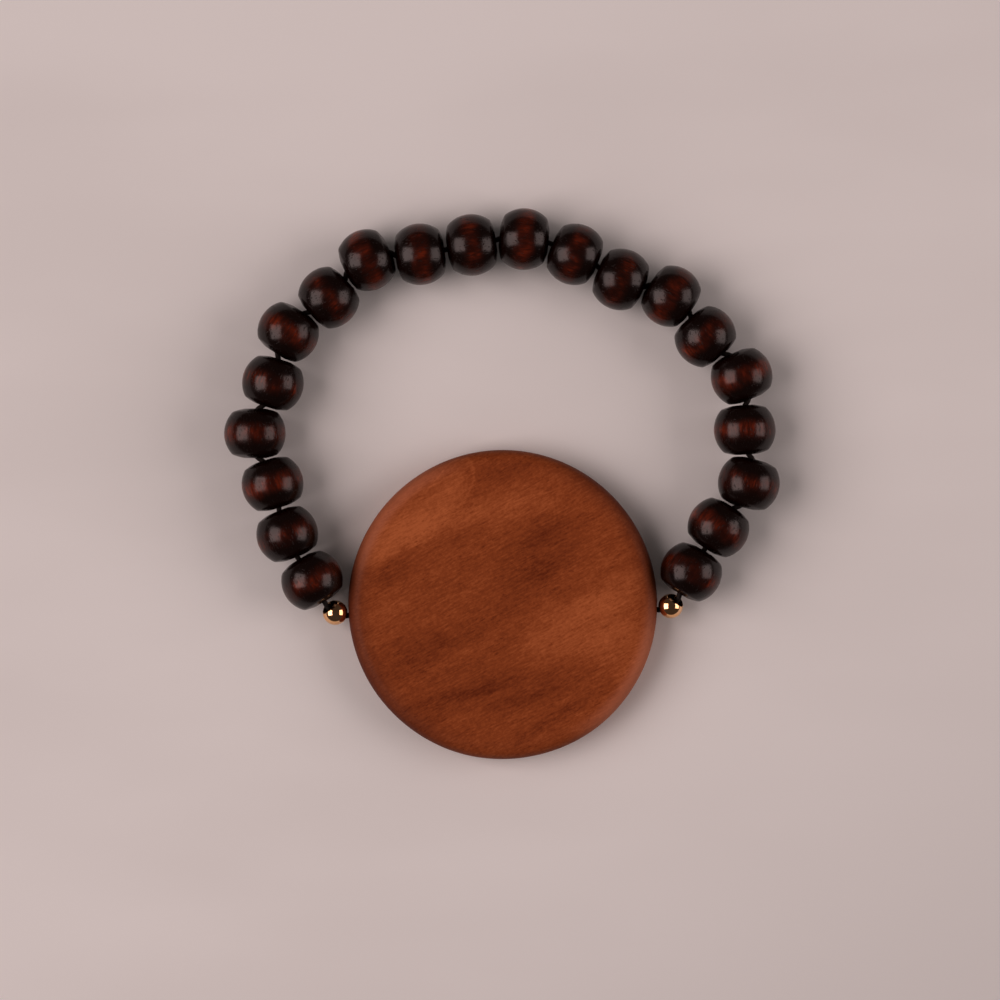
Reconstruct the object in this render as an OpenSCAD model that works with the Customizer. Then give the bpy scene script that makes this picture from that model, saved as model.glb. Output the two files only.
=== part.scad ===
// Stretch bracelet: glossy round wooden beads, two small metal spacer beads and one large flat
// wooden disc, all threaded on a closed loop of elastic. It lies flat on a surface.
// Millimetres. The origin is the centre of the disc's underside, on the surface. +X runs along
// the hole through the disc, +Y from the disc across the loop, and +Z up.

/* [Disc] */
// Diameter of the wooden disc
disc_d = 40; // [34:0.5:46]
// Thickness of the disc
disc_t = 5; // [4:0.1:6.5]
// Radius that rounds the disc's rim, above and below
disc_edge_r = 1.8; // [0.5:0.1:1.9]
// Diameter of the hole that runs through the disc from side to side
disc_bore_d = 2.2; // [2:0.1:2.6]
// Distance of that hole from the disc's centre, away from the loop
disc_bore_shift = 0.6; // [0:0.1:2]

/* [Beads] */
// Number of wooden beads
bead_count = 20; // [16:1:24]
// Diameter of a bead round its middle
bead_d = 8; // [7.4:0.1:9.4]
// Length of a bead along its hole
bead_l = 6.45; // [5.6:0.05:7]
// Radius of the shallow dome at each end of a bead
bead_dome_r = 8; // [6:0.5:12]
// Radius that rounds the edge between a bead's side and its end
bead_edge_r = 0.8; // [0.4:0.1:1.2]
// Diameter of a bead's hole
bead_bore_d = 2.3; // [2.2:0.1:2.6]

/* [Spacer beads] */
// Diameter of a metal spacer bead
spacer_d = 3.2; // [2.8:0.1:4]
// Diameter of a spacer bead's hole
spacer_bore_d = 1.5; // [1.4:0.05:1.7]

/* [Elastic] */
// Thickness of the elastic
elastic_d = 0.7; // [0.4:0.05:0.8]

/* [Clearances] */
// Least gap between neighbouring beads
bead_gap = 0.12; // [0.1:0.01:0.3]
// Gap between a spacer bead and the disc's rim
rim_gap = 0.1; // [0.1:0.05:0.4]
// Gap between a spacer bead and the bead beside it, seen from above
spacer_gap = 0.3; // [0.2:0.05:0.6]
// Least gap between the elastic and the wall of a spacer's hole
thread_gap = 0.2; // [0.1:0.05:0.3]

/* [Hidden] */
$fn = 96;

// How the string lies: the heading of each link from the left spacer's centre through the beads'
// centres to the right spacer's, in degrees from +X, for 20 beads. Other counts read in between.
LINK_HEADINGS = [124, 117, 105, 108, 69, 72, 39, 43, 5, 9, 5,
                 -18, -30, -20, -51, -49, -88, -87, -126, -123, -122];
// Heading of the elastic inside the disc, as it leaves on the left and comes back on the right
LEAVING_DISC = 180;
ENTERING_DISC = -180;
// How far a spacer is up, and turned, on the way from the disc's hole to the next bead's hole
SPACER_RISE = 0.5;
SPACER_TURN = 0.55;
// Halvings that close the loop, and the least and most bending that they search
CLOSING_STEPS = 30;
LEAST_BEND = 0.6;
MOST_BEND = 1.3;
// Sides of the elastic
ELASTIC_SIDES = 8;
// Least height of the straight band round the disc's rim
LEAST_RIM = 0.1;

function between(start, end, share) = start + share * (end - start);

rim_r = min(disc_edge_r, (disc_t - LEAST_RIM) / 2);
disc_bore_z = disc_t / 2;
bead_z = bead_d / 2;
spacer_z = between(disc_bore_z, bead_z, SPACER_RISE);
spacer_x = sqrt(pow(disc_d / 2 + rim_gap + spacer_d / 2, 2) - pow(disc_bore_shift, 2));
thread_play = (spacer_bore_d - elastic_d) / 2 - thread_gap;

function two_digits(number) = str(number < 10 ? "0" : "", number);
function bead_name(i) = str("bead_", two_digits(i));

function compass(heading) = [cos(heading), sin(heading)];
function level(heading) = [cos(heading), sin(heading), 0];
function turned(point, angle) = [point.x * cos(angle) - point.y * sin(angle),
                                 point.x * sin(angle) + point.y * cos(angle)];

// Chosen heading of link i: link 0 leaves the left spacer and link bead_count ends at the right one
last = len(LINK_HEADINGS) - 1;
function chosen_heading(i) = lookup(i / bead_count, [for (k = [0:last]) [k / last, LINK_HEADINGS[k]]]);

// A bead's hole points halfway between the links on its two sides
function chosen_hole(i) = (chosen_heading(i - 1) + chosen_heading(i)) / 2;

// A bead's end dome is centred this far past the bead's middle
half_l = bead_l / 2;
dome_back = sqrt(pow(bead_dome_r, 2) - pow(bead_bore_d / 2, 2)) - half_l;

// Length of link i at a bend, seen from above. Between beads, their facing domes are bead_gap apart.
function link_length(i, bend) =
    i == 0 || i == bead_count ? (spacer_d + bead_l) / 2 + spacer_gap
    : let (leans = [for (k = [i, i + 1]) bend * (chosen_hole(k) - chosen_heading(i))],
           aside = dome_back * (sin(leans[0]) + sin(leans[1])))
      sqrt(pow(2 * bead_dome_r + bead_gap, 2) - pow(aside, 2))
      - dome_back * (cos(leans[0]) + cos(leans[1]));

// Ends of all links when every chosen heading is multiplied by bend, starting at [0, 0]
function string_points(bend) =
    [for (i = 0, point = [0, 0]; i <= bead_count + 1;
          point = point + link_length(i, bend) * compass(bend * chosen_heading(i)), i = i + 1) point];

// The bend at which the two ends of the string lie the given span apart, between two bounds
function closing_bend(span, low, high, steps) =
    let (middle = (low + high) / 2)
    steps == 0 ? middle
    : norm(string_points(middle)[bead_count + 1]) > span ? closing_bend(span, middle, high, steps - 1)
    : closing_bend(span, low, middle, steps - 1);

string_bend = closing_bend(2 * spacer_x, LEAST_BEND, MOST_BEND, CLOSING_STEPS);
loose_string = string_points(string_bend);
string_turn = -atan2(loose_string[bead_count + 1].y, loose_string[bead_count + 1].x);

// Heading of link i and middle of bead i as they lie, with the string's ends on the two spacers
function heading(i) = string_bend * chosen_heading(i) + string_turn;
function on_string(i) = turned(loose_string[i], string_turn) + [-spacer_x, -disc_bore_shift];
function bead_middle(i) = [on_string(i).x, on_string(i).y, bead_z];
function bead_heading(i) = (heading(i - 1) + heading(i)) / 2;
function bead_mouth(i, side) = bead_middle(i) + side * bead_l / 2 * level(bead_heading(i));

// A spacer: its middle, and the direction of its hole, which turns and rises from the disc's hole to
// the next bead's. side is -1 on the left and 1 on the right, and travel is clockwise on both.
function spacer_middle(side) = [side * spacer_x, -disc_bore_shift, spacer_z];
function spacer_heading(side) = side < 0 ? between(LEAVING_DISC, heading(0), SPACER_TURN)
    : between(ENTERING_DISC, heading(bead_count), SPACER_TURN);
function nearest_mouth(side) = side < 0 ? bead_mouth(1, -1) : bead_mouth(bead_count, 1);
function disc_mouth(side) = [side * disc_d / 2, -disc_bore_shift, disc_bore_z];
function spacer_slope(side) =
    let (way = nearest_mouth(side) - disc_mouth(side)) atan2(way.z, norm([way.x, way.y]));
function spacer_direction(side) =
    let (flat = compass(spacer_heading(side)), slope = spacer_slope(side))
    [flat.x * cos(slope), flat.y * cos(slope), -side * sin(slope)];
function inner_side(side) = level(spacer_heading(side) - 90);

// Middle line of the elastic, clockwise from the disc: it bows outward inside each spacer, and
// elsewhere runs through the middle of each bead and halfway between facing holes
function spacer_end(side, way) = spacer_middle(side) + way * spacer_d / 2 * spacer_direction(side);
function bowed_middle(side) = spacer_middle(side) - thread_play * inner_side(side);
function between_beads(i) = (bead_mouth(i, 1) + bead_mouth(i + 1, -1)) / 2;
function inside_disc(side) = [side * (disc_d - disc_bore_d) / 2, -disc_bore_shift, disc_bore_z];
elastic_line = concat(
    [inside_disc(-1), spacer_end(-1, -1), bowed_middle(-1), spacer_end(-1, 1)],
    [for (i = [1:bead_count - 1], halfway = [false, true]) halfway ? between_beads(i) : bead_middle(i)],
    [bead_middle(bead_count), spacer_end(1, -1), bowed_middle(1), spacer_end(1, 1), inside_disc(1)]);

// Ring of points square to the line at point i of a closed line, and the tube through all rings
function ring(line, i, radius, sides) =
    let (count = len(line), way = line[(i + 1) % count] - line[(i + count - 1) % count],
         ahead = way / norm(way), aside = [-ahead.y, ahead.x, 0] / norm([ahead.x, ahead.y]),
         upward = cross(ahead, aside))
    [for (j = [0:sides - 1])
     line[i] + radius * (cos(360 * j / sides) * aside + sin(360 * j / sides) * upward)];

module closed_tube(line, radius, sides) {
    count = len(line);
    rings = [for (i = [0:count - 1]) each ring(line, i, radius, sides)];
    function corner(i, j) = (i % count) * sides + j % sides;
    quads = [for (i = [0:count - 1], j = [0:sides - 1])
             [corner(i, j), corner(i + 1, j), corner(i + 1, j + 1), corner(i, j + 1)]];
    polyhedron(points = rings, faces = quads, convexity = 8);
}

// Half outline of a bead, its hole along Y: a round side, domed ends and rounded edges between them
module bead_outline() {
    side_r = bead_d / 2;
    edge_y = (pow(bead_dome_r - bead_edge_r, 2) - pow(side_r - bead_edge_r, 2) - pow(dome_back, 2))
        / (2 * dome_back);
    edge_x = sqrt(pow(side_r - bead_edge_r, 2) - pow(edge_y, 2));
    side_top = edge_y * side_r / (side_r - bead_edge_r);
    dome_x = edge_x * bead_dome_r / (bead_dome_r - bead_edge_r);
    intersection() {
        circle(r = side_r);
        translate([0, -side_top]) square([bead_d, 2 * side_top]);
    }
    for (up = [-1, 1]) translate([edge_x, up * edge_y]) circle(r = bead_edge_r);
    intersection() {
        translate([0, -dome_back]) circle(r = bead_dome_r);
        translate([0, dome_back]) circle(r = bead_dome_r);
        translate([0, -bead_l]) square([dome_x, 2 * bead_l]);
    }
}

module bead(i) {
    color([0.15, 0.05, 0.03])
        translate(bead_middle(i)) rotate([0, 90, bead_heading(i)])
            difference() {
                rotate_extrude() bead_outline();
                cylinder(h = 2 * bead_l, d = bead_bore_d, center = true);
            }
}

module disc() {
    color([0.46, 0.21, 0.11])
        difference() {
            rotate_extrude() {
                square([disc_d / 2 - rim_r, disc_t]);
                translate([0, rim_r]) square([disc_d / 2, disc_t - 2 * rim_r]);
                for (z = [rim_r, disc_t - rim_r]) translate([disc_d / 2 - rim_r, z]) circle(r = rim_r);
            }
            translate([0, -disc_bore_shift, disc_bore_z]) rotate([0, 90, 0])
                cylinder(h = 2 * disc_d, d = disc_bore_d, center = true);
        }
}

module spacer(side) {
    slope = asin(spacer_direction(side).z);
    color([0.83, 0.62, 0.36])
        translate(spacer_middle(side)) rotate([0, 90 - slope, spacer_heading(side)])
            difference() {
                sphere(d = spacer_d);
                cylinder(h = 2 * spacer_d, d = spacer_bore_d, center = true);
            }
}

module elastic() {
    color([0.04, 0.04, 0.04]) closed_tube(elastic_line, elastic_d / 2, ELASTIC_SIDES);
}

disc();
spacer(-1);  // spacer_left
spacer(1);  // spacer_right
elastic();
for (i = [1:bead_count])
    bead(i);
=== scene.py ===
"""Dresses a stretch bracelet of glossy wooden beads, gold-tone spacer beads and a flat wooden disc.

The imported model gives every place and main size. Each sub-assembly is a class that builds its own
meshes and dresses them, and each finish is a small class that makes one procedural material.
"""

import logging
import math
from dataclasses import dataclass, field
from enum import Enum
from functools import cache
from typing import Iterable, Sequence, Union

import bmesh
import bpy
from mathutils import Matrix, Vector, noise


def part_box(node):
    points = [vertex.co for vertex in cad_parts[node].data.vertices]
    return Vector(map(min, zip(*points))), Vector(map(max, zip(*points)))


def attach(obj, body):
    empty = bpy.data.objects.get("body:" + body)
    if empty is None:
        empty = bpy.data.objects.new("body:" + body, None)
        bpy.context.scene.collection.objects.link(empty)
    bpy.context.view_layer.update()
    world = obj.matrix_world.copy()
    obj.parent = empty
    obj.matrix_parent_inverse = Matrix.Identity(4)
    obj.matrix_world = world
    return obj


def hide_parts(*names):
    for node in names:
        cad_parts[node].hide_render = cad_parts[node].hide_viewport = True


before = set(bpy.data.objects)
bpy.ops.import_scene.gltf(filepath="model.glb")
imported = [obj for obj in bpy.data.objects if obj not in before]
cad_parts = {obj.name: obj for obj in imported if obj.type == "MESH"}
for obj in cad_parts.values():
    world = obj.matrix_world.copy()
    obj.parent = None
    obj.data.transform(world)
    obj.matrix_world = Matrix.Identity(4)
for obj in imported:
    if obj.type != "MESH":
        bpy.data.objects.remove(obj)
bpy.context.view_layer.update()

log = logging.getLogger("bracelet")

MM = 0.001
BODY = "root"

# The mesh attributes that the materials read
GRAIN = "grain"
CHARACTER = "character"
# Steps of the golden ratio spread the pieces' characters evenly between 0 and 1
GOLDEN_STEP = 0.618034
# How far apart the noise patterns of characters 0 and 1 lie
SEED_SPREAD = 40.0
# Added to a distance that something is divided by, in millimetres, so that it is never 0
TINY = 0.01
# Half height of an upright oval column in millimetres, so tall that the disc sees only its section
UPRIGHT = 1000.0


class Slot(Enum):
    """The record's material slots."""

    BEAD_WOOD = "bead_wood"
    DISC_WOOD = "disc_wood"
    GOLD_TONE = "gold_tone"
    ELASTIC = "elastic"


class Side(Enum):
    """The two sides of the disc, seen from above, with +X to the right."""

    LEFT = -1
    RIGHT = 1


Number = Union[float, "Signal"]
Colour = tuple[float, float, float]
Pair = tuple[float, float]


@dataclass(frozen=True)
class Signal:
    """A shader value that takes part in Python maths, and adds a Math node for each operation."""

    graph: "Graph"
    socket: bpy.types.NodeSocket

    def math(self, operation: str, *values: Number) -> "Signal":
        """The result of one Math node, with numbers or signals as its inputs in order."""
        inputs = {i: value for i, value in enumerate(values)}
        return self.graph.value("ShaderNodeMath", {"operation": operation}, inputs)

    def __add__(self, other: Number) -> "Signal":
        """self + other."""
        return self.math("ADD", self, other)

    def __radd__(self, other: Number) -> "Signal":
        """other + self."""
        return self.math("ADD", other, self)

    def __sub__(self, other: Number) -> "Signal":
        """self - other."""
        return self.math("SUBTRACT", self, other)

    def __rsub__(self, other: Number) -> "Signal":
        """other - self."""
        return self.math("SUBTRACT", other, self)

    def __mul__(self, other: Number) -> "Signal":
        """self * other."""
        return self.math("MULTIPLY", self, other)

    def __rmul__(self, other: Number) -> "Signal":
        """other * self."""
        return self.math("MULTIPLY", other, self)

    def __truediv__(self, other: Number) -> "Signal":
        """self / other."""
        return self.math("DIVIDE", self, other)

    def __rtruediv__(self, other: Number) -> "Signal":
        """other / self."""
        return self.math("DIVIDE", other, self)

    def __neg__(self) -> "Signal":
        """self with the other sign."""
        return self.math("MULTIPLY", self, -1.0)

    def __abs__(self) -> "Signal":
        """The size of self, without its sign."""
        return self.math("ABSOLUTE", self)

    def root(self) -> "Signal":
        """The square root."""
        return self.math("SQRT", self)

    def wave(self) -> "Signal":
        """A sine wave between 0 and 1, from an angle in radians."""
        return self.math("SINE", self) * 0.5 + 0.5

    def clamped(self) -> "Signal":
        """self, held between 0 and 1."""
        return self.math("MINIMUM", self.math("MAXIMUM", self, 0.0), 1.0)

    def rise(self, low: float, high: float) -> "Signal":
        """0 below low, 1 above high, and a smooth way between them."""
        inputs = {"Value": self, "From Min": low, "From Max": high}
        return self.graph.value("ShaderNodeMapRange", {"interpolation_type": "SMOOTHSTEP"}, inputs)

    def fading(self, share: float) -> "Signal":
        """1 where self is 1, and a share less where self is 0."""
        return self * share + (1 - share)

    def fall(self, low: float, high: float) -> "Signal":
        """1 below low, 0 above high, and a smooth way between them."""
        return 1 - self.rise(low, high)


class Graph:
    """The nodes of one node tree."""

    def __init__(self, tree: bpy.types.NodeTree) -> None:
        """Empties the tree that the nodes are built in."""
        self.tree = tree
        self.tree.nodes.clear()

    def node(
        self, kind: str, settings: dict | None = None, inputs: dict | None = None
    ) -> bpy.types.Node:
        """Adds one node.

        Args:
            kind: the node's type.
            settings: attributes to set first.
            inputs: values, sockets or signals, by the name or number of the input.

        Returns:
            The new node.
        """
        made = self.tree.nodes.new(kind)
        for name, setting in (settings or {}).items():
            setattr(made, name, setting)
        for name, value in (inputs or {}).items():
            self.feed(made.inputs[name], value)
        return made

    def feed(self, socket: bpy.types.NodeSocket, value: object) -> None:
        """Links or sets one input.

        Args:
            socket: the input.
            value: a signal, a socket, a number, a colour or a vector.
        """
        if isinstance(value, Signal):
            value = value.socket
        if isinstance(value, bpy.types.NodeSocket):
            self.tree.links.new(value, socket)
        elif socket.type == "RGBA":
            socket.default_value = (*value, 1.0)
        else:
            socket.default_value = value

    def value(self, kind: str, settings: dict, inputs: dict, output: str | int = 0) -> Signal:
        """Adds one node, as node does, and gives one of its outputs as a signal."""
        return Signal(self, self.node(kind, settings, inputs).outputs[output])

    def place(self) -> "Place":
        """The point on the piece, as its grain attribute holds it.

        Returns:
            The point in millimetres.
        """
        socket = self.node("ShaderNodeAttribute", {"attribute_name": GRAIN}).outputs["Vector"]
        split = self.node("ShaderNodeSeparateXYZ", {}, {0: socket})
        return Place(self, *(Signal(self, split.outputs[axis]) for axis in "XYZ"))

    def trait(self, name: str) -> Signal:
        """A number that the whole piece shares, read from one of its attributes."""
        return self.value("ShaderNodeAttribute", {"attribute_name": name}, {}, "Fac")

    def mixed(self, share: Number, first: object, second: object) -> bpy.types.NodeSocket:
        """Mixes two colours.

        Args:
            share: 0 gives the first colour and 1 the second.
            first: a colour or a socket.
            second: a colour or a socket.

        Returns:
            The mixed colour's socket.
        """
        made = self.node("ShaderNodeMix", {"data_type": "RGBA"})
        self.feed(made.inputs["Factor"], share)
        colours = [socket for socket in made.inputs if socket.type == "RGBA"]
        self.feed(colours[0], first)
        self.feed(colours[1], second)
        return next(socket for socket in made.outputs if socket.type == "RGBA")

    def bump(self, height: Signal, depth_mm: float, strength: float) -> bpy.types.NodeSocket:
        """The normal of a height, where a height of 1 is depth_mm millimetres."""
        inputs = {"Height": height, "Distance": depth_mm * MM, "Strength": strength}
        return self.node("ShaderNodeBump", {}, inputs).outputs["Normal"]


class MaterialGraph(Graph):
    """The nodes of one material, with one Principled shader."""

    def __init__(self, name: str) -> None:
        """Makes the material.

        Args:
            name: the material's name.
        """
        self.material = bpy.data.materials.new(name)
        self.material.use_nodes = True
        super().__init__(self.material.node_tree)
        self.shader = self.node("ShaderNodeBsdfPrincipled")
        self.node("ShaderNodeOutputMaterial", {}, {"Surface": self.shader.outputs["BSDF"]})

    def finish(self, **sockets: object) -> bpy.types.Material:
        """Sets the shader's sockets.

        Args:
            **sockets: each socket's name in lower case with underscores, and its value or link.

        Returns:
            The finished material.
        """
        by_name = {socket.name.lower().replace(" ", "_"): socket for socket in self.shader.inputs}
        for name, value in sockets.items():
            self.feed(by_name[name], value)
        return self.material


@dataclass(frozen=True)
class Grain:
    """One layer of smooth noise, with the size of a lump along X, Y and Z in millimetres."""

    size: tuple[float, float, float]
    detail: float = 2.0
    rough: float = 0.5
    seed: float = 0.0


@dataclass(frozen=True)
class Oval:
    """An upright column with an oval section, in millimetres, and how much it lightens the wood."""

    x: float
    y: float
    heading: float
    half_length: float
    half_width: float
    strength: float


@dataclass(frozen=True)
class Place:
    """A point of the surface, as three signals in millimetres."""

    graph: Graph
    x: Signal
    y: Signal
    z: Signal

    def turned(self, degrees: float) -> "Place":
        """The same point with its X axis turned to a heading.

        Args:
            degrees: the heading, counter-clockwise seen from +Z.

        Returns:
            The point, with x along the heading and y across it.
        """
        cosine, sine = math.cos(math.radians(degrees)), math.sin(math.radians(degrees))
        along, across = self.x * cosine + self.y * sine, self.y * cosine - self.x * sine
        return Place(self.graph, along, across, self.z)

    def moved(self, x: Number, y: Number) -> "Place":
        """The same point seen from another origin."""
        return Place(self.graph, self.x - x, self.y - y, self.z)

    def length(self) -> Signal:
        """The distance from the origin, along X and Y."""
        return (self.x * self.x + self.y * self.y).root()

    def vector(self) -> bpy.types.NodeSocket:
        """The point as one vector socket."""
        inputs = {"X": self.x, "Y": self.y, "Z": self.z}
        return self.graph.node("ShaderNodeCombineXYZ", {}, inputs).outputs[0]

    def within(self, oval: Oval, scale: float = 1.0) -> Signal:
        """How deep the point lies in an oval column.

        Args:
            oval: the column.
            scale: how many times as wide the column is taken.

        Returns:
            1 on the column's axis, 0 from its wall outwards.
        """
        inputs = {
            "Vector": self.vector(), "Location": (oval.x, oval.y, 0.0),
            "Rotation": (0.0, 0.0, math.radians(oval.heading)),
            "Scale": (oval.half_length * scale, oval.half_width * scale, UPRIGHT),
        }
        own = self.graph.node("ShaderNodeMapping", {"vector_type": "TEXTURE"}, inputs).outputs[0]
        settings = {"gradient_type": "SPHERICAL"}
        return self.graph.value("ShaderNodeTexGradient", settings, {"Vector": own}, "Fac")

    def noise(self, grain: Grain, seed: Number = 0.0) -> Signal:
        """Smooth noise.

        Args:
            grain: the size of its lumps, its detail and its own seed.
            seed: added to that seed, to pick another pattern.

        Returns:
            The noise, from 0 to 1 around 0.5.
        """
        parts = (part / size for part, size in zip((self.x, self.y, self.z), grain.size))
        inputs = {
            "Vector": Place(self.graph, *parts).vector(), "W": seed + grain.seed, "Scale": 1.0,
            "Detail": grain.detail, "Roughness": grain.rough,
        }
        return self.graph.value("ShaderNodeTexNoise", {"noise_dimensions": "4D"}, inputs)


@dataclass(frozen=True)
class LacqueredWood:
    """Nearly black stain under clear gloss, with a red band of bare wood round the middle."""

    stain: Colour = (0.0080, 0.0017, 0.0008)
    red: Colour = (0.115, 0.0160, 0.0045)
    amber: Colour = (0.270, 0.0400, 0.0085)
    half_length: float = 3.2
    band_step: Pair = (0.08, 0.56)
    band_drift: float = 0.45
    glow_step: Pair = (0.0, 0.34)
    glow_strength: float = 0.8
    pore_strength: float = 0.6
    least_shown: float = 0.47
    more_shown: float = 0.8
    streak_step: Pair = (0.25, 0.75)
    streak_share: float = 0.6
    cloud_step: Pair = (0.3, 0.66)
    cloud_share: float = 0.75
    glow_cloud_step: Pair = (0.45, 0.72)
    glow_streak_step: Pair = (0.4, 0.7)
    pore_step: Pair = (0.60, 0.72)
    ripple_step: Pair = (0.3, 0.7)
    ripple_height: float = 0.5
    pore_depth: float = 0.5
    streak_height: float = 0.12
    roughness: float = 0.17
    ripple_roughness: float = 0.08
    pore_roughness: float = 0.22
    gloss_level: float = 0.42
    bump_depth: float = 0.024
    bump_strength: float = 0.8
    drift: Grain = Grain((3.0, 2.4, 2.4))
    streaks: Grain = Grain((1.5, 0.32, 0.32), 3.0, 0.6, 5.0)
    clouds: Grain = Grain((2.2, 1.7, 1.7), seed=9.0)
    pores: Grain = Grain((0.6, 0.20, 0.20), 1.0, seed=13.0)
    ripple: Grain = Grain((1.3, 0.9, 0.9), seed=17.0)

    def material(self) -> bpy.types.Material:
        """Makes the material.

        Returns:
            The lacquered wood. Its X axis runs along the hole.
        """
        graph = MaterialGraph("lacquered_bead_wood")
        place = graph.place()
        character = graph.trait(CHARACTER)
        seed = character * SEED_SPREAD
        drift = place.noise(self.drift, seed) - 0.5
        streaks = place.noise(self.streaks, seed)
        clouds = place.noise(self.clouds, seed)
        ripple = place.noise(self.ripple, seed)
        pores = place.noise(self.pores, seed).rise(*self.pore_step)
        along = abs(place.x / self.half_length + drift * self.band_drift)
        shown = along.fall(*self.band_step)
        shown = shown * streaks.rise(*self.streak_step).fading(self.streak_share)
        shown = shown * clouds.rise(*self.cloud_step).fading(self.cloud_share)
        shown = shown * (character * self.more_shown + self.least_shown)
        glow = along.fall(*self.glow_step) * clouds.rise(*self.glow_cloud_step)
        glow = glow * streaks.rise(*self.glow_streak_step)
        colour = graph.mixed(shown.clamped(), self.stain, self.red)
        colour = graph.mixed(glow.clamped() * self.glow_strength, colour, self.amber)
        colour = graph.mixed(pores * self.pore_strength, colour, self.stain)
        height = ripple * self.ripple_height - pores * self.pore_depth
        height = height + streaks * self.streak_height
        gloss = ripple.rise(*self.ripple_step) * self.ripple_roughness
        gloss = gloss + pores * self.pore_roughness
        return graph.finish(
            base_color=colour, roughness=gloss + self.roughness,
            specular_ior_level=self.gloss_level,
            normal=graph.bump(height, self.bump_depth, self.bump_strength),
        )


@dataclass(frozen=True)
class GoldTone:
    """Polished gold-tone plating with faint rubbing marks."""

    plate: Colour = (0.90, 0.54, 0.27)
    worn: Colour = (0.93, 0.63, 0.39)
    roughness: float = 0.07
    cloud_roughness: float = 0.05
    rub_roughness: float = 0.04
    worn_step: Pair = (0.35, 0.7)
    cloud_step: Pair = (0.4, 0.75)
    rub_step: Pair = (0.55, 0.8)
    rub_height: float = 0.1
    bump_depth: float = 0.016
    bump_strength: float = 0.7
    clouds: Grain = Grain((0.9, 0.9, 0.9), 3.0, 0.6)
    rubs: Grain = Grain((0.9, 0.05, 0.05), 2.0, 0.6, 3.0)

    def material(self) -> bpy.types.Material:
        """Makes the material.

        Returns:
            The polished metal.
        """
        graph = MaterialGraph("polished_gold_tone")
        place = graph.place()
        seed = graph.trait(CHARACTER) * SEED_SPREAD
        clouds = place.noise(self.clouds, seed)
        rubs = place.noise(self.rubs, seed)
        colour = graph.mixed(clouds.rise(*self.worn_step), self.plate, self.worn)
        gloss = clouds.rise(*self.cloud_step) * self.cloud_roughness
        gloss = gloss + rubs.rise(*self.rub_step) * self.rub_roughness
        height = clouds + rubs * self.rub_height
        return graph.finish(
            base_color=colour, roughness=gloss + self.roughness, metallic=1.0,
            normal=graph.bump(height, self.bump_depth, self.bump_strength),
        )


@dataclass(frozen=True)
class ElasticCord:
    """Dark, tightly covered stretch cord with fine slanting threads."""

    dark: Colour = (0.010, 0.006, 0.005)
    light: Colour = (0.026, 0.017, 0.014)
    roughness: float = 0.6
    fuzz_roughness: float = 0.2
    gloss_level: float = 0.3
    bump_depth: float = 0.03
    bump_strength: float = 0.6
    threads_along: float = 14.0
    threads_round: float = 9.0
    fuzz_share: float = 0.3
    fuzz_height: float = 0.3
    fuzz: Grain = Grain((0.2, 0.1, 0.1), 2.0, 0.6)

    def material(self) -> bpy.types.Material:
        """Makes the material.

        Returns:
            The cord's cover. Its X axis runs along the cord and Y round it.
        """
        graph = MaterialGraph("elastic_cover")
        place = graph.place()
        slant = place.x * self.threads_along + place.y * self.threads_round
        threads, fuzz = slant.wave(), place.noise(self.fuzz)
        tone = threads * (1 - self.fuzz_share) + fuzz * self.fuzz_share
        colour = graph.mixed(tone.clamped(), self.dark, self.light)
        height = threads + fuzz * self.fuzz_height
        return graph.finish(
            base_color=colour, roughness=fuzz * self.fuzz_roughness + self.roughness,
            specular_ior_level=self.gloss_level,
            normal=graph.bump(height, self.bump_depth, self.bump_strength),
        )


@dataclass(frozen=True)
class Streak(Oval):
    """One light or dark streak of the disc's figure, with soft sides."""

    core: float = 0.75

    def tone(self, place: Place) -> Signal:
        """How much the streak lightens the wood at each point, with its strength's sign."""
        return place.within(self).rise(0.0, self.core) * self.strength


@dataclass(frozen=True)
class GrowthRing(Oval):
    """One thin arch of the disc's figure, the end of a long oval ring."""

    line: float = 0.08
    oversize: float = 1.5
    open_step: Pair = (-0.7, 0.3)

    def tone(self, place: Place) -> Signal:
        """How much the ring lightens the wood along its line.

        Args:
            place: the point on the disc.

        Returns:
            The ring's strength at each point, with its sign.
        """
        off_line = abs(place.within(self, self.oversize) - (1 - 1 / self.oversize))
        ahead = place.moved(self.x, self.y).turned(self.heading).x / self.half_length
        return off_line.fall(0.0, self.line) * ahead.rise(*self.open_step) * self.strength


@dataclass(frozen=True)
class RimPatch:
    """One side of the disc's rim, darker by end-grain stain or painted shade, or paler by wear with
    a painted sheen.
    """

    heading: float
    low: float
    high: float
    strength: float

    def share(self, place: Place) -> Signal:
        """How much of the patch shows, by the point's direction from the disc's middle only."""
        facing = (place.turned(self.heading).x / (place.length() + TINY)).clamped()
        return (facing * facing).rise(self.low, self.high) * self.strength


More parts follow.
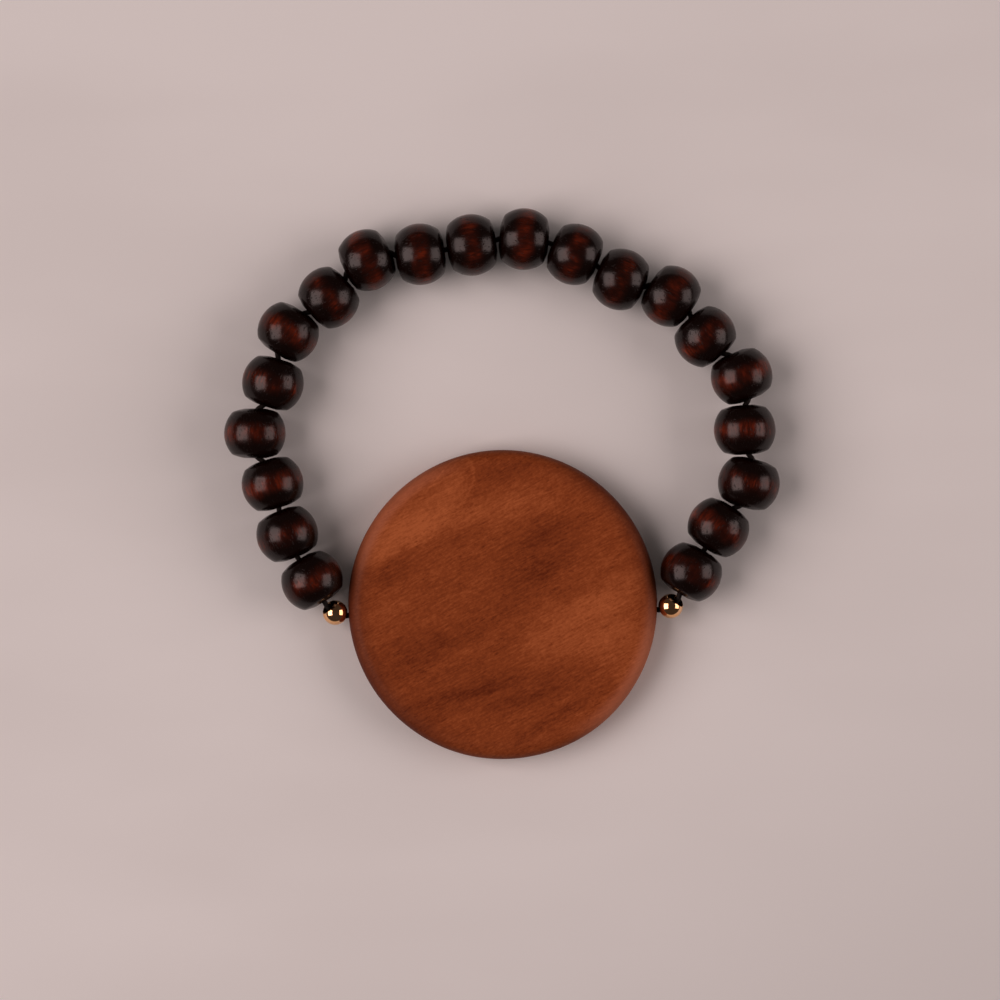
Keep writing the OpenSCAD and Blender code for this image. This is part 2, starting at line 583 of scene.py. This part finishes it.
@dataclass(frozen=True)
class OiledWood:
    """Warm brown oiled wood, with its figure, pores, dark end grain and painted shade on its rim,
    and a paler worn rim with a painted sheen.
    """

    middle: Colour = (0.300, 0.0780, 0.0183)
    light: Colour = (0.475, 0.1550, 0.0520)
    dark: Colour = (0.150, 0.0270, 0.0030)
    # Paler worn wood together with a painted sheen of the lights on the rim
    worn: Colour = (0.520, 0.2100, 0.1200)
    # Dark end-grain colour, also used for painted shade on the rim and for its darker very edge
    end: Colour = (0.085, 0.0190, 0.0100)
    heading: float = 27.0
    # Each patch by heading, low, high and strength. The dark patches at 28 and 200 degrees are end
    # grain; those at 88 and 272 degrees are painted shade where the rim faces neither light.
    end_grain_and_shade_patches: tuple[RimPatch, ...] = (
        RimPatch(28.0, 0.42, 0.90, 0.55),
        RimPatch(88.0, 0.60, 0.95, 0.10),
        RimPatch(200.0, 0.25, 0.80, 0.62),
        RimPatch(272.0, 0.60, 0.95, 0.22),
    )
    # Paler worn rim with a painted sheen, where the rim turns towards the left and the right light
    worn_and_sheen_patches: tuple[RimPatch, ...] = (
        RimPatch(138.0, 0.62, 0.98, 0.50),
        RimPatch(330.0, 0.62, 0.98, 0.62),
    )
    radius: float = 20.0
    # How far in from the rim the end grain, the painted rim shade and the darker very edge reach
    end_grain_and_shade_step: Pair = (0.83, 1.01)
    end_grain_and_shade_stray: float = 0.08
    edge_step: Pair = (0.955, 1.0)
    edge_stray: float = 0.02
    edge_strength: float = 0.24
    # How far in from the rim the worn wood with its painted sheen reaches
    worn_step: Pair = (0.88, 0.97)
    worn_and_sheen_stray: float = 0.03
    bend_stray: float = 3.0
    waver_stray: float = 2.0
    band_tone: float = 0.6
    cloud_tone: float = 0.6
    thread_tone: float = 1.5
    dash_tone: float = 1.3
    fleck_tone: float = 1.2
    mottle_step: Pair = (0.42, 0.62)
    mottle_share: float = 0.75
    pore_step: Pair = (0.56, 0.72)
    pore_strength: float = 0.6
    thread_height: float = 0.6
    fleck_height: float = 0.25
    roughness: float = 0.53
    thread_roughness: float = 0.10
    pore_roughness: float = 0.10
    gloss_level: float = 0.22
    ior: float = 1.45
    bump_depth: float = 0.02
    bump_strength: float = 0.6
    bend: Grain = Grain((14.0, 6.0, 9.0), 1.0, seed=2.0)
    waver: Grain = Grain((2.4, 1.0, 3.0), 2.0, 0.6, 4.0)
    bands: Grain = Grain((16.0, 1.9, 4.0), seed=6.0)
    clouds: Grain = Grain((4.2, 1.7, 2.0), 2.0, 0.55, 7.0)
    threads: Grain = Grain((2.6, 0.26, 0.5), 3.0, 0.65, 8.0)
    dashes: Grain = Grain((0.9, 0.20, 0.35), 2.0, 0.6, 9.0)
    pores: Grain = Grain((0.85, 0.20, 0.4), 2.0, 0.6, 10.0)
    flecks: Grain = Grain((0.36, 0.32, 0.3), 2.0, 0.6, 12.0)
    mottle: Grain = Grain((5.0, 3.0, 4.0), 1.0, seed=14.0)
    # Each one by x, y, heading, half_length, half_width and strength
    figure: tuple[Streak | GrowthRing, ...] = (
        Streak(-13.8, 9.0, 27.0, 10.5, 3.2, 0.66),
        Streak(-2.5, 12.2, 22.0, 10.0, 2.6, 0.42),
        Streak(4.0, 12.8, 18.0, 7.0, 2.0, 0.32),
        Streak(-10.5, 13.2, 35.0, 10.0, 5.0, 0.32),
        Streak(-6.2, 14.6, 58.0, 4.6, 1.7, 0.26),
        GrowthRing(-6.6, 15.2, 54.0, 4.3, 2.2, 0.40),
        Streak(5.0, 6.8, 36.0, 9.0, 5.2, -0.40),
        Streak(3.2, 2.6, 22.0, 7.5, 2.8, -0.22),
        Streak(7.0, 9.4, 18.0, 5.5, 2.0, -0.18),
        Streak(0.5, 17.4, 8.0, 7.0, 2.0, -0.28),
        Streak(9.5, -3.6, 22.0, 11.0, 5.0, 0.58),
        Streak(13.6, 1.0, 28.0, 7.0, 3.8, 0.34),
        Streak(16.2, -6.0, 25.0, 8.0, 4.6, 0.44),
        Streak(-5.0, -3.4, 24.0, 11.5, 3.2, -0.24),
        Streak(-12.6, -7.0, 22.0, 8.5, 4.4, -0.36),
        Streak(-14.2, 4.8, 30.0, 5.0, 2.2, -0.36),
        Streak(-14.2, -0.4, 20.0, 4.5, 1.6, 0.24),
        Streak(-2.0, -11.8, 16.0, 19.0, 7.0, -0.24),
        Streak(-8.3, -12.1, 13.0, 8.0, 1.3, -0.32),
        Streak(-1.4, -10.4, 19.0, 7.0, 1.2, -0.32),
        Streak(2.2, -12.0, 24.0, 7.0, 1.2, -0.26),
        Streak(5.6, -14.7, 30.0, 9.0, 1.3, -0.30),
        Streak(-5.0, -15.0, 15.0, 5.0, 1.4, 0.22),
    )

    def figure_tone(self, place: Place, fibre: Place) -> Signal:
        """How light the wood is by its figure, with the figure's lines straying a little.

        Args:
            place: the point on the disc.
            fibre: the same point, with X along the fibres.

        Returns:
            The tone, above 0 where the wood is light and below 0 where it is dark.
        """
        drift = (fibre.noise(self.bend) - 0.5) * self.bend_stray
        drift = drift + (fibre.noise(self.waver) - 0.5) * self.waver_stray
        lean = math.radians(self.heading)
        strayed = place.moved(drift * math.sin(lean), drift * -math.cos(lean))
        tone = (fibre.noise(self.bands) - 0.5) * self.band_tone
        return tone + sum(part.tone(strayed) for part in self.figure)

    def material(self) -> bpy.types.Material:
        """Makes the material.

        Returns:
            The oiled wood. Its X and Y axes are the disc's own.
        """
        graph = MaterialGraph("oiled_disc_wood")
        place = graph.place()
        fibre = place.turned(self.heading)
        layers = (self.clouds, self.threads, self.dashes, self.flecks)
        clouds, threads, dashes, flecks = (fibre.noise(layer) - 0.5 for layer in layers)
        mottled = fibre.noise(self.mottle).rise(*self.mottle_step).fading(self.mottle_share)
        pores = fibre.noise(self.pores).rise(*self.pore_step) * mottled * self.pore_strength
        tone = self.figure_tone(place, fibre) + clouds * self.cloud_tone
        tone = tone + threads * self.thread_tone + dashes * self.dash_tone
        tone = tone + flecks * self.fleck_tone - pores
        colour = graph.mixed(tone.clamped(), self.middle, self.light)
        colour = graph.mixed((-tone).clamped(), colour, self.dark)
        out = place.length() / self.radius
        # End-grain stain, painted shade on the rim where it faces neither light, and a darker very
        # edge all round
        stain_and_shade = sum(patch.share(place) for patch in self.end_grain_and_shade_patches)
        stain_and_shade = stain_and_shade * (out + threads * self.end_grain_and_shade_stray).rise(*self.end_grain_and_shade_step)
        edge = (out + threads * self.edge_stray).rise(*self.edge_step)
        stain_and_shade = stain_and_shade + edge * self.edge_strength
        # A paler worn rim with a painted sheen of the lights
        worn_and_sheen = sum(patch.share(place) for patch in self.worn_and_sheen_patches)
        worn_and_sheen = worn_and_sheen * (out + threads * self.worn_and_sheen_stray).rise(*self.worn_step)
        colour = graph.mixed(worn_and_sheen, colour, self.worn)
        colour = graph.mixed(stain_and_shade.clamped(), colour, self.end)
        height = threads * self.thread_height + flecks * self.fleck_height - pores
        gloss = threads * self.thread_roughness + pores * self.pore_roughness
        return graph.finish(
            base_color=colour, roughness=gloss + self.roughness,
            specular_ior_level=self.gloss_level, ior=self.ior,
            normal=graph.bump(height, self.bump_depth, self.bump_strength),
        )


@dataclass(frozen=True)
class PaleFloor:
    """The pale surface that the bracelet lies on, with painted shade darkening it towards its lower
    right corner.
    """

    colour: Colour = (0.82, 0.860, 0.862)
    shade: Colour = (0.78, 0.815, 0.815)
    # Painted shade that darkens the floor towards the lower right corner, standing in for the light
    # falling off
    painted_shade_corner: Colour = (0.700, 0.735, 0.737)
    roughness: float = 0.7
    cloud_step: Pair = (0.35, 0.65)
    corner_slope: float = 0.7
    corner_step: Pair = (10.0, 120.0)
    clouds: Grain = Grain((90.0, 30.0, 30.0), 3.0)

    def material(self) -> bpy.types.Material:
        """Makes the material.

        Returns:
            The floor's finish, with a very faint variation and painted shade towards the lower
            right corner.
        """
        graph = MaterialGraph("pale_floor")
        place = graph.place()
        clouds = place.noise(self.clouds).rise(*self.cloud_step)
        colour = graph.mixed(clouds, self.colour, self.shade)
        # Painted shade towards the lower right corner
        corner_shade = (place.x * self.corner_slope - place.y).rise(*self.corner_step)
        colour = graph.mixed(corner_shade, colour, self.painted_shade_corner)
        return graph.finish(base_color=colour, roughness=self.roughness)


def make_piece(
    name: str,
    points: Iterable[Vector],
    faces: Iterable[Sequence[int]],
    material: bpy.types.Material,
    place: Matrix = Matrix.Identity(4),
) -> bpy.types.Object:
    """Makes a smooth-shaded mesh object from points and faces.

    Args:
        name: the piece's name.
        points: the points in metres, in the piece's own axes.
        faces: the faces, as numbers of points.
        material: the piece's material.
        place: where the piece lies. The mesh is turned and the object is moved.

    Returns:
        The object, linked to the scene.
    """
    turn = place.to_3x3()
    mesh = bpy.data.meshes.new(name)
    mesh.from_pydata([tuple(turn @ point) for point in points], [], [tuple(face) for face in faces])
    mesh.validate()
    work = bmesh.new()
    work.from_mesh(mesh)
    bmesh.ops.recalc_face_normals(work, faces=work.faces)
    work.to_mesh(mesh)
    work.free()
    for polygon in mesh.polygons:
        polygon.use_smooth = True
    mesh.materials.append(material)
    piece = bpy.data.objects.new(name, mesh)
    piece.location = place.to_translation()
    bpy.context.scene.collection.objects.link(piece)
    return piece


def mark_grain(piece: bpy.types.Object, grain: Iterable[Vector], character: float = 0.0) -> None:
    """Stores where each point lies in the material, and a number that sets the piece apart.

    Args:
        piece: the mesh object.
        grain: each point's place in the material, in metres.
        character: a number from 0 to 1.
    """
    piece.data.attributes.new(GRAIN, "FLOAT_VECTOR", "POINT")
    piece.data.attributes.new(CHARACTER, "FLOAT", "POINT")
    places, shared = piece.data.attributes[GRAIN], piece.data.attributes[CHARACTER]
    for spot, own, place in zip(places.data, shared.data, grain):
        spot.vector = place / MM
        own.value = character


def ring_faces(rings: int, around: int, closed: bool) -> list[tuple[int, int, int, int]]:
    """The four-sided faces between rings of points.

    Args:
        rings: how many rings there are.
        around: how many points each ring has.
        closed: whether the last ring joins the first.

    Returns:
        The faces, as numbers of points.
    """
    faces = []
    for i in range(rings if closed else rings - 1):
        ahead = (i + 1) % rings
        for j in range(around):
            beside = (j + 1) % around
            here, there = i * around, ahead * around
            faces.append((here + j, there + j, there + beside, here + beside))
    return faces


def arc(centre: Pair, radius: float, start: float, end: float, steps: int) -> list[Pair]:
    """Points along an arc in equal steps, both ends included, with its angles in degrees."""
    angles = [math.radians(start + (end - start) * i / steps) for i in range(steps + 1)]
    return [(centre[0] + radius * math.cos(a), centre[1] + radius * math.sin(a)) for a in angles]


def circle(along: float, radius: float, around: int) -> list[Vector]:
    """Points on a circle round the X axis, at a place along it, from +Y towards +Z."""
    angles = [2 * math.pi * j / around for j in range(around)]
    return [Vector((along, radius * math.cos(a), radius * math.sin(a))) for a in angles]


def lathe(outline: Sequence[Pair], around: int) -> tuple[list[Vector], list[tuple[int, ...]]]:
    """The points and faces of a ring round X, from its half section along X and out from it."""
    points = [point for along, out in outline for point in circle(along, out, around)]
    return points, ring_faces(len(outline), around, True)


@cache
def node_box(node: str) -> tuple[Vector, Vector]:
    """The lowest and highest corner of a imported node."""
    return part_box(node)


def node_middle(node: str) -> Vector:
    """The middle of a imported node's box."""
    low, high = node_box(node)
    return (low + high) / 2


def through(middle: Vector, half: Vector) -> list[Vector]:
    """The first mouth, the middle and the last mouth of a hole, where half is half its length."""
    return [middle - half, middle, middle + half]


def along_x(direction: Vector) -> Matrix:
    """The rotation that turns X to a direction and keeps Y level.

    Args:
        direction: the direction, of any length and not upright.

    Returns:
        The rotation.
    """
    ahead = direction.normalized()
    aside = Vector((-ahead.y, ahead.x, 0)).normalized()
    return Matrix((ahead, aside, ahead.cross(aside))).transposed().to_4x4()


@dataclass
class BeadString:
    """The lacquered beads, each one turned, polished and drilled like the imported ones."""

    count: int = 20
    diameter: float = 8.0 * MM
    length: float = 6.45 * MM
    dome_radius: float = 8.0 * MM
    edge_radius: float = 0.8 * MM
    hole_diameter: float = 2.3 * MM
    mouth_radius: float = 0.18 * MM
    around: int = 72
    side_steps: int = 26
    edge_steps: int = 8
    dome_steps: int = 6
    mouth_steps: int = 4
    unevenness: float = 0.03 * MM
    lump_size: float = 3.2 * MM
    lump_step: float = 7.3
    finish: LacqueredWood = field(default_factory=LacqueredWood)

    def name(self, i: int) -> str:
        """The node's name of bead i, counted from 1."""
        return f"bead_{i:02d}"

    def middles(self) -> list[Vector]:
        """The middles of the left spacer, all beads in order and the right spacer."""
        names = ["spacer_left", *(self.name(i) for i in range(1, self.count + 1)), "spacer_right"]
        return [node_middle(name) for name in names]

    def heading(self, i: int) -> float:
        """The heading of bead i's hole, halfway between the links on its two sides.

        Args:
            i: the bead, counted from 1.

        Returns:
            The heading in radians.
        """
        stops = self.middles()
        before, after = stops[i] - stops[i - 1], stops[i + 1] - stops[i]
        first = math.atan2(before.y, before.x)
        turn = (math.atan2(after.y, after.x) - first + math.pi) % (2 * math.pi) - math.pi
        return first + turn / 2

    def outline(self) -> list[Pair]:
        """The half section of one bead.

        Returns:
            Points from one mouth over the round side to the other mouth, and back through the hole.
        """
        side, dome, edge = self.diameter / 2, self.dome_radius, self.edge_radius
        hole, lip = self.hole_diameter / 2, self.mouth_radius
        back = math.sqrt(dome**2 - hole**2) - self.length / 2
        along = ((dome - edge) ** 2 - (side - edge) ** 2 - back**2) / (2 * back)
        out = math.sqrt((side - edge) ** 2 - along**2)
        lean, dome_lean = (math.degrees(math.atan2(out, along + shift)) for shift in (0.0, back))
        lip_lean = math.degrees(math.asin((hole + lip) / (dome - lip)))
        lip_along = math.sqrt((dome - lip) ** 2 - (hole + lip) ** 2) - back
        right = arc((lip_along, hole + lip), lip, -90, lip_lean, self.mouth_steps)
        right += arc((-back, 0.0), dome, lip_lean, dome_lean, self.dome_steps)[1:-1]
        right += arc((along, out), edge, dome_lean, lean, self.edge_steps)
        middle = arc((0.0, 0.0), side, lean, 180 - lean, self.side_steps)[1:-1]
        return right + middle + [(-x, y) for x, y in reversed(right)]

    def hole(self, i: int) -> list[Vector]:
        """The mouths and the middle of bead i's hole, clockwise round the loop."""
        way = Vector((math.cos(self.heading(i)), math.sin(self.heading(i)), 0.0))
        return through(self.middles()[i], way * (self.length / 2))

    def shaped(self, points: Sequence[Vector], i: int) -> list[Vector]:
        """Makes one bead a little uneven, as turned wood is.

        Args:
            points: the even bead's points.
            i: which bead it is.

        Returns:
            The uneven bead's points.
        """
        away, share = Vector((0.0, 0.0, self.lump_step * i)), self.unevenness / (self.diameter / 2)
        lumps = [noise.noise(point / self.lump_size + away) - 0.5 for point in points]
        return [point * (1 + lump * share) for point, lump in zip(points, lumps)]

    def build(self) -> None:
        """Makes every bead in its packed place."""
        material = self.finish.material()
        points, faces = lathe(self.outline(), self.around)
        for i in range(1, self.count + 1):
            name = self.name(i)
            character = (i * GOLDEN_STEP) % 1.0
            roll = Matrix.Rotation(2 * math.pi * character, 4, "X")
            turn = Matrix.Rotation(self.heading(i), 4, "Z") @ roll
            matrix = Matrix.Translation(node_middle(name)) @ turn
            own = self.shaped(points, i)
            bead = make_piece(f"{name}_lacquered", own, faces, material, matrix)
            mark_grain(bead, own, character)
            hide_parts(name)
            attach(bead, BODY)
        log.info("%d beads, %d faces each", self.count, len(faces))


@dataclass
class Spacer:
    """One small polished metal bead beside the disc."""

    side: Side
    string: BeadString
    disc_hole_height: float = 2.5 * MM
    turn_share: float = 0.55
    hole_diameter: float = 1.5 * MM
    mouth_radius: float = 0.08 * MM
    mouth_steps: int = 4
    around: int = 64
    steps: int = 36
    character_middle: float = 0.3
    character_spread: float = 0.2
    finish: GoldTone = field(default_factory=GoldTone)

    def node(self) -> str:
        """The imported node's name."""
        return f"spacer_{self.side.name.lower()}"

    def radius(self) -> float:
        """The ball's radius."""
        low, high = node_box(self.node())
        return (high.z - low.z) / 2

    def direction(self) -> Vector:
        """The direction of the spacer's hole.

        Returns:
            A direction of length 1, clockwise round the loop.
        """
        left, side = self.side is Side.LEFT, self.side.value
        here, start = node_middle(self.node()), -math.pi * side
        first, middle, last = self.string.hole(1 if left else self.string.count)
        link = (here - middle) * side
        turned = start + self.turn_share * (math.atan2(link.y, link.x) - start)
        rim = Vector((node_box("disc")[0 if left else 1].x, here.y, self.disc_hole_height))
        way = (first if left else last) - rim
        climb = way.z / math.hypot(way.x, way.y)
        return Vector((math.cos(turned), math.sin(turned), -side * climb)).normalized()

    def hole(self) -> list[Vector]:
        """The mouths and the middle of the spacer's hole, clockwise round the loop."""
        return through(node_middle(self.node()), self.direction() * self.radius())

    def outline(self) -> list[Pair]:
        """The half section of the spacer.

        Returns:
            Points over the ball and back through the hole, with rounded mouths.
        """
        radius, hole, lip = self.radius(), self.hole_diameter / 2, self.mouth_radius
        pole = math.degrees(math.asin((hole + lip) / (radius - lip)))
        reach = (radius - lip) * math.cos(math.radians(pole))
        ball = arc((0.0, 0.0), radius, pole, 180 - pole, self.steps)
        right = arc((reach, hole + lip), lip, -90, pole, self.mouth_steps)[:-1]
        left = [(-x, y) for x, y in reversed(right)]
        return right + ball + left

    def build(self) -> None:
        """Makes the spacer in its packed place."""
        points, faces = lathe(self.outline(), self.around)
        matrix = Matrix.Translation(node_middle(self.node())) @ along_x(self.direction())
        name = f"{self.node()}_polished"
        spacer = make_piece(name, points, faces, self.finish.material(), matrix)
        character = self.character_middle + self.character_spread * self.side.value
        mark_grain(spacer, points, character)
        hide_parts(self.node())
        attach(spacer, BODY)
        log.info("%s, %d faces", name, len(faces))


@dataclass
class WoodenDisc:
    """The flat disc with a rounded rim, drilled from side to side."""

    rim_radius: float = 1.8 * MM
    hole_diameter: float = 2.2 * MM
    hole_shift: float = 0.6 * MM
    around: int = 256
    rim_steps: int = 14
    face_rings: int = 10
    wobble: float = 0.05 * MM
    wobbles: float = 1.7
    wobble_middle: float = 0.6
    wobble_rise: int = 8
    drill_sides: int = 40
    drill_reach: float = 1.2
    sharp_degrees: float = 35.0
    finish: OiledWood = field(default_factory=OiledWood)

    def hole(self) -> list[Vector]:
        """Two points in the disc's hole.

        Returns:
            One a little inside the left mouth and one inside the right.
        """
        low, high = node_box("disc")
        inside, height = self.hole_diameter / 2, (low.z + high.z) / 2
        return [Vector((x, -self.hole_shift, height)) for x in (low.x + inside, high.x - inside)]

    def radius(self) -> float:
        """The disc's radius."""
        low, high = node_box("disc")
        return (high.x - low.x) / 2

    def outline(self) -> list[Pair]:
        """The half section of the disc, from the middle of its top to the middle of its underside.

        Returns:
            Points as height and distance from the middle.
        """
        low, high = node_box("disc")
        rim, thickness = self.rim_radius, high.z - low.z
        inner = self.radius() - rim
        top = [(thickness, inner * i / self.face_rings) for i in range(1, self.face_rings)]
        upper = [(y, x) for x, y in arc((inner, thickness - rim), rim, 90, 0, self.rim_steps)]
        lower = [(y, x) for x, y in arc((inner, rim), rim, 0, -90, self.rim_steps)]
        return top + upper + lower + [(0.0, out) for _, out in reversed(top)]

    def solid(self, material: bpy.types.Material) -> bpy.types.Object:
        """The disc before it is drilled.

        Args:
            material: the disc's material.

        Returns:
            The disc, lying in its place.
        """
        points, rings = [], self.outline()
        for height, out in rings:
            for j in range(self.around):
                angle = 2 * math.pi * j / self.around
                way = Vector((math.cos(angle), math.sin(angle), 0.0))
                stray = (noise.noise(way * self.wobbles) - self.wobble_middle) * self.wobble
                stray *= (out / self.radius()) ** self.wobble_rise
                points.append(way * (out + stray) + Vector((0, 0, height)))
        faces = ring_faces(len(rings), self.around, False)
        last = len(points) - 1
        faces += [tuple(range(self.around)), tuple(range(last, last - self.around, -1))]
        return make_piece("disc_oiled", points, faces, material)

    def drill(self, disc: bpy.types.Object) -> None:
        """Cuts the hole through the disc.

        Args:
            disc: the disc, whose mesh is changed.
        """
        around, (left, right) = self.drill_sides, self.hole()
        reach, middle = self.radius() * self.drill_reach, (left + right) / 2
        ends = [circle(x, self.hole_diameter / 2, around) for x in (-reach, reach)]
        points = [middle + point for end in ends for point in end]
        faces = ring_faces(2, around, False)
        faces += [tuple(range(around)), tuple(range(2 * around - 1, around - 1, -1))]
        bit = make_piece("drill_bit", points, faces, disc.data.materials[0])
        cut = disc.modifiers.new("hole", "BOOLEAN")
        cut.operation, cut.solver, cut.object = "DIFFERENCE", "EXACT", bit
        apply_modifiers(disc)
        bpy.data.objects.remove(bit)
        disc.data.set_sharp_from_angle(angle=math.radians(self.sharp_degrees))

    def build(self) -> None:
        """Makes the disc in its packed place."""
        disc = self.solid(self.finish.material())
        self.drill(disc)
        mark_grain(disc, [vertex.co for vertex in disc.data.vertices])
        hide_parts("disc")
        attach(disc, BODY)
        log.info("disc, %d faces", len(disc.data.polygons))


def apply_modifiers(piece: bpy.types.Object) -> None:
    """Makes a piece's modifiers part of its mesh.

    Args:
        piece: the object, which keeps no modifier.
    """
    bpy.context.view_layer.update()
    shown = piece.evaluated_get(bpy.context.evaluated_depsgraph_get())
    made = bpy.data.meshes.new_from_object(shown)
    piece.modifiers.clear()
    piece.data = made


@dataclass
class ElasticLoop:
    """The closed loop of stretch cord that everything is threaded on."""

    string: BeadString
    spacers: Sequence[Spacer]
    disc: WoodenDisc
    diameter: float = 0.66 * MM
    around: int = 12
    ring_step: float = 0.5 * MM
    smoothings: int = 4
    finish: ElasticCord = field(default_factory=ElasticCord)

    def stops(self) -> list[Vector]:
        """The points that the cord passes through.

        Returns:
            The points, clockwise from the disc's left side.
        """
        start, end = self.disc.hole()
        left, right = (spacer.hole() for spacer in self.spacers)
        beads = [point for i in range(1, self.string.count + 1) for point in self.string.hole(i)]
        return [start, *left, *beads, *right, end]

    def route(self, stops: Sequence[Vector]) -> list[Vector]:
        """A smooth closed line through the stops.

        Args:
            stops: the points that it passes near.

        Returns:
            Points a small step apart.
        """
        line = []
        for i, here in enumerate(stops):
            ahead = stops[(i + 1) % len(stops)]
            steps = max(1, round((ahead - here).length / self.ring_step))
            line += [here.lerp(ahead, j / steps) for j in range(steps)]
        for _ in range(self.smoothings):
            after = line[1:] + line[:1]
            line = [(line[i - 1] + line[i] * 2 + after[i]) / 4 for i in range(len(line))]
        return line

    def build(self) -> None:
        """Makes the cord through all the holes."""
        line, ring = self.route(self.stops()), circle(0.0, self.diameter / 2, self.around)
        girths = [math.pi * self.diameter * j / self.around for j in range(self.around)]
        points, places, run = [], [], 0.0
        for i, here in enumerate(line):
            after = line[(i + 1) % len(line)]
            turn = along_x(after - line[i - 1]).to_3x3()
            points += [here + turn @ out for out in ring]
            places += [Vector((run, girth, 0.0)) for girth in girths]
            run += (after - here).length
        faces = ring_faces(len(line), self.around, True)
        cord = make_piece("elastic_cord", points, faces, self.finish.material())
        mark_grain(cord, places)
        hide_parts("elastic")
        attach(cord, BODY)
        log.info("elastic, %.0f mm long, %d faces", run / MM, len(faces))


@dataclass(frozen=True)
class Softbox:
    """One large soft light that faces the bracelet, with angles in degrees and sizes in metres."""

    name: str
    zenith: float
    heading: float
    distance: float
    width: float
    height: float
    power: float
    colour: Colour = (1.0, 0.80, 0.77)

    def build(self, target: Vector) -> None:
        """Makes the light.

        Args:
            target: the point that it faces.
        """
        lamp = bpy.data.lights.new(self.name, "AREA")
        lamp.shape, lamp.size, lamp.size_y = "RECTANGLE", self.height, self.width
        lamp.energy, lamp.color = self.power, self.colour
        made = bpy.data.objects.new(self.name, lamp)
        zenith, heading = math.radians(self.zenith), math.radians(self.heading)
        level = Vector((math.cos(heading), math.sin(heading), 0.0))
        way = level * math.sin(zenith) + Vector((0.0, 0.0, math.cos(zenith)))
        made.location = target + way * self.distance
        made.rotation_euler = way.to_track_quat("Z", "Y").to_euler()
        made.visible_camera = False
        bpy.context.scene.collection.objects.link(made)


@dataclass
class Studio:
    """The floor, the lights and the camera straight above."""

    frame_width: float = 129.2 * MM
    focus_height: float = 3.5 * MM
    middle: Pair = (-0.10 * MM, 13.53 * MM)
    camera_roll: float = -1.13
    camera_distance: float = 0.65
    camera_clip: Pair = (0.01, 10.0)
    floor_size: float = 3.0
    floor_height: float = -0.02 * MM
    ambient: Colour = (0.203, 0.168, 0.160)
    mirrored: Colour = (0.070, 0.057, 0.054)
    backdrop: Colour = (0.62, 0.55, 0.54)
    softboxes: tuple[Softbox, ...] = (
        Softbox(
            "left_softbox", zenith=47.0, heading=180.0, distance=2.0,
            width=1.54, height=1.69, power=27.9,
        ),
        Softbox(
            "right_softbox", zenith=61.0, heading=0.0, distance=2.0,
            width=1.32, height=1.49, power=16.4,
        ),
    )
    gamma: float = 0.85
    floor_finish: PaleFloor = field(default_factory=PaleFloor)

    def build_floor(self) -> None:
        """Makes the floor, just under the bracelet."""
        half, height = self.floor_size / 2, self.floor_height
        ends = ((-half, -half), (half, -half), (half, half), (-half, half))
        corners = [Vector((x, y, height)) for x, y in ends]
        floor = make_piece("floor", corners, [(0, 1, 2, 3)], self.floor_finish.material())
        mark_grain(floor, corners)

    def build_lights(self) -> None:
        """Makes the soft lights and the dim surroundings."""
        target = Vector((*self.middle, 0.0))
        for softbox in self.softboxes:
            softbox.build(target)
        world = bpy.data.worlds.new("studio")
        bpy.context.scene.world = world
        world.use_nodes = True
        graph = Graph(world.node_tree)
        rays = graph.node("ShaderNodeLightPath").outputs
        colour = graph.mixed(rays["Is Glossy Ray"], self.ambient, self.mirrored)
        colour = graph.mixed(rays["Is Camera Ray"], colour, self.backdrop)
        around = graph.node("ShaderNodeBackground", {}, {"Color": colour}).outputs[0]
        graph.node("ShaderNodeOutputWorld", {}, {"Surface": around})

    def build_camera(self) -> None:
        """Makes the camera, straight above the bracelet and rolled a little."""
        camera = bpy.data.cameras.new("camera")
        camera.lens = camera.sensor_width * self.camera_distance / self.frame_width
        camera.clip_start, camera.clip_end = self.camera_clip
        made = bpy.data.objects.new("camera", camera)
        made.location = (*self.middle, self.focus_height + self.camera_distance)
        made.rotation_euler = (0.0, 0.0, math.radians(self.camera_roll))
        bpy.context.scene.collection.objects.link(made)
        bpy.context.scene.camera = made

    def build(self) -> None:
        """Makes the whole studio, and shows its colours as they are."""
        self.build_floor()
        self.build_lights()
        self.build_camera()
        view = bpy.context.scene.view_settings
        view.view_transform, view.gamma = "Standard", self.gamma
        log.info("studio with %d softboxes", len(self.softboxes))


def main() -> None:
    """Builds every piece in order and reports each one."""
    logging.basicConfig(level=logging.INFO, format="%(name)s: %(message)s")
    Studio().build()
    string = BeadString()
    string.build()
    spacers = [Spacer(side, string) for side in Side]
    for spacer in spacers:
        spacer.build()
    disc = WoodenDisc()
    disc.build()
    ElasticLoop(string, spacers, disc).build()


if __name__ == "__main__":
    main()
